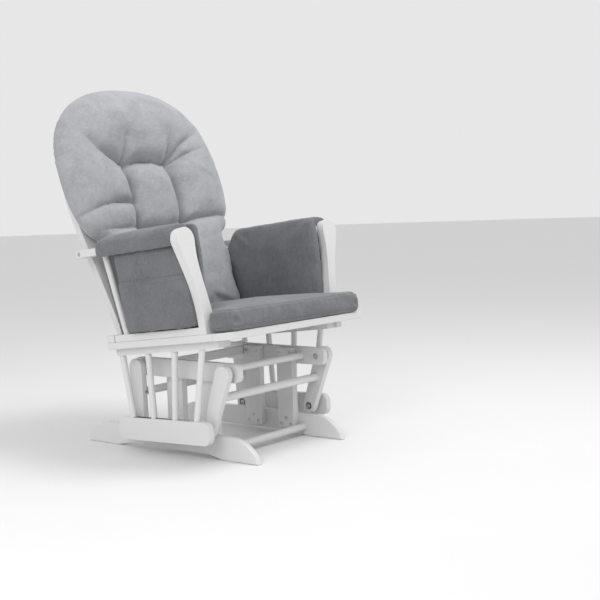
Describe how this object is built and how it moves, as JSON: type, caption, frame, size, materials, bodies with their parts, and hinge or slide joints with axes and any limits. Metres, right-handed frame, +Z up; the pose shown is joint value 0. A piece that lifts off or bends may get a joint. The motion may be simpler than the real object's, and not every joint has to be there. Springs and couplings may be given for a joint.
{
  "type": "glider nursery chair",
  "caption": "Glider nursery chair: white painted wood base, swing arms and hanging seat frame, curved arm posts, hoop back, grey tufted cushions and padded arms with pockets.",
  "frame": {"origin": "on the floor, under the middle of the chair's bounding box", "axes": "+Z up, -Y towards the front, +X to the sitter's left"},
  "size_m": [0.654, 0.6786, 1.0159],
  "materials": {
    "white_paint": "satin white paint on wood",
    "steel": "zinc plated",
    "grey_cloth": "short-napped microfibre"
  },
  "bodies": {
    "base": {"left_runner": "white_paint", "right_runner": "white_paint", "left_front_upright": "white_paint", "left_rear_upright": "white_paint", "right_front_upright": "white_paint", "right_rear_upright": "white_paint", "left_top_rail": "white_paint", "right_top_rail": "white_paint", "base_lower_dowel": "white_paint", "base_upper_dowel": "white_paint", "base_rear_crossbar": "white_paint", "upright_screws": "steel", "upper_pivot_bolts": "steel", "upper_pivot_spacers": "steel"},
    "front_swing": {"left_front_swing_arm": "white_paint", "right_front_swing_arm": "white_paint", "front_swing_dowel": "white_paint", "front_swing_bearings": "steel", "front_dowel_screws": "steel"},
    "rear_swing": {"left_rear_swing_arm": "white_paint", "right_rear_swing_arm": "white_paint", "rear_swing_dowel": "white_paint", "rear_swing_bearings": "steel", "rear_dowel_screws": "steel"},
    "seat": {"left_lower_rail": "white_paint", "right_lower_rail": "white_paint", "left_side_spindles": "white_paint", "right_side_spindles": "white_paint", "left_upper_rail": "white_paint", "right_upper_rail": "white_paint", "lower_pivot_bolts": "steel", "lower_pivot_spacers": "steel", "seat_front_rail": "white_paint", "seat_rear_rail": "white_paint", "left_seat_rail": "white_paint", "right_seat_rail": "white_paint", "left_seat_cleat": "white_paint", "right_seat_cleat": "white_paint", "seat_slats": "white_paint", "left_arm_sill": "white_paint", "right_arm_sill": "white_paint", "rear_sill": "white_paint", "left_arm_post": "white_paint", "right_arm_post": "white_paint", "left_arm_board": "white_paint", "right_arm_board": "white_paint", "left_arm_spindles": "white_paint", "right_arm_spindles": "white_paint", "back_hoop": "white_paint", "back_lower_rail": "white_paint", "back_slats": "white_paint", "back_bolts": "steel", "seat_cushion": "grey_cloth", "back_cushion": "grey_cloth", "left_arm_pad": "grey_cloth", "right_arm_pad": "grey_cloth", "arm_inner_panels": "grey_cloth", "arm_outer_panels": "grey_cloth", "arm_pockets": "grey_cloth"}
  },
  "joints": [
    {"name": "front_glide", "type": "hinge", "parent": "base", "child": "front_swing", "pos_m": [0, -0.248, 0.23], "axis": [1, 0, 0], "range_deg": [-18, 14]},
    {"name": "rear_glide", "type": "hinge", "parent": "base", "child": "rear_swing", "pos_m": [0, 0.068, 0.23], "axis": [1, 0, 0], "range_deg": [-17, 13.3]},
    {"name": "seat_level", "type": "hinge", "parent": "front_swing", "child": "seat", "pos_m": [0, -0.19328, 0.07965], "axis": [1, 0, 0], "range_deg": [-17.5, 22.5]}
  ],
  "couplings": [
    {"joint": "rear_glide", "follows": "front_glide", "ratio": 0.9414},
    {"joint": "seat_level", "follows": "front_glide", "ratio": -1.2405}
  ]
}
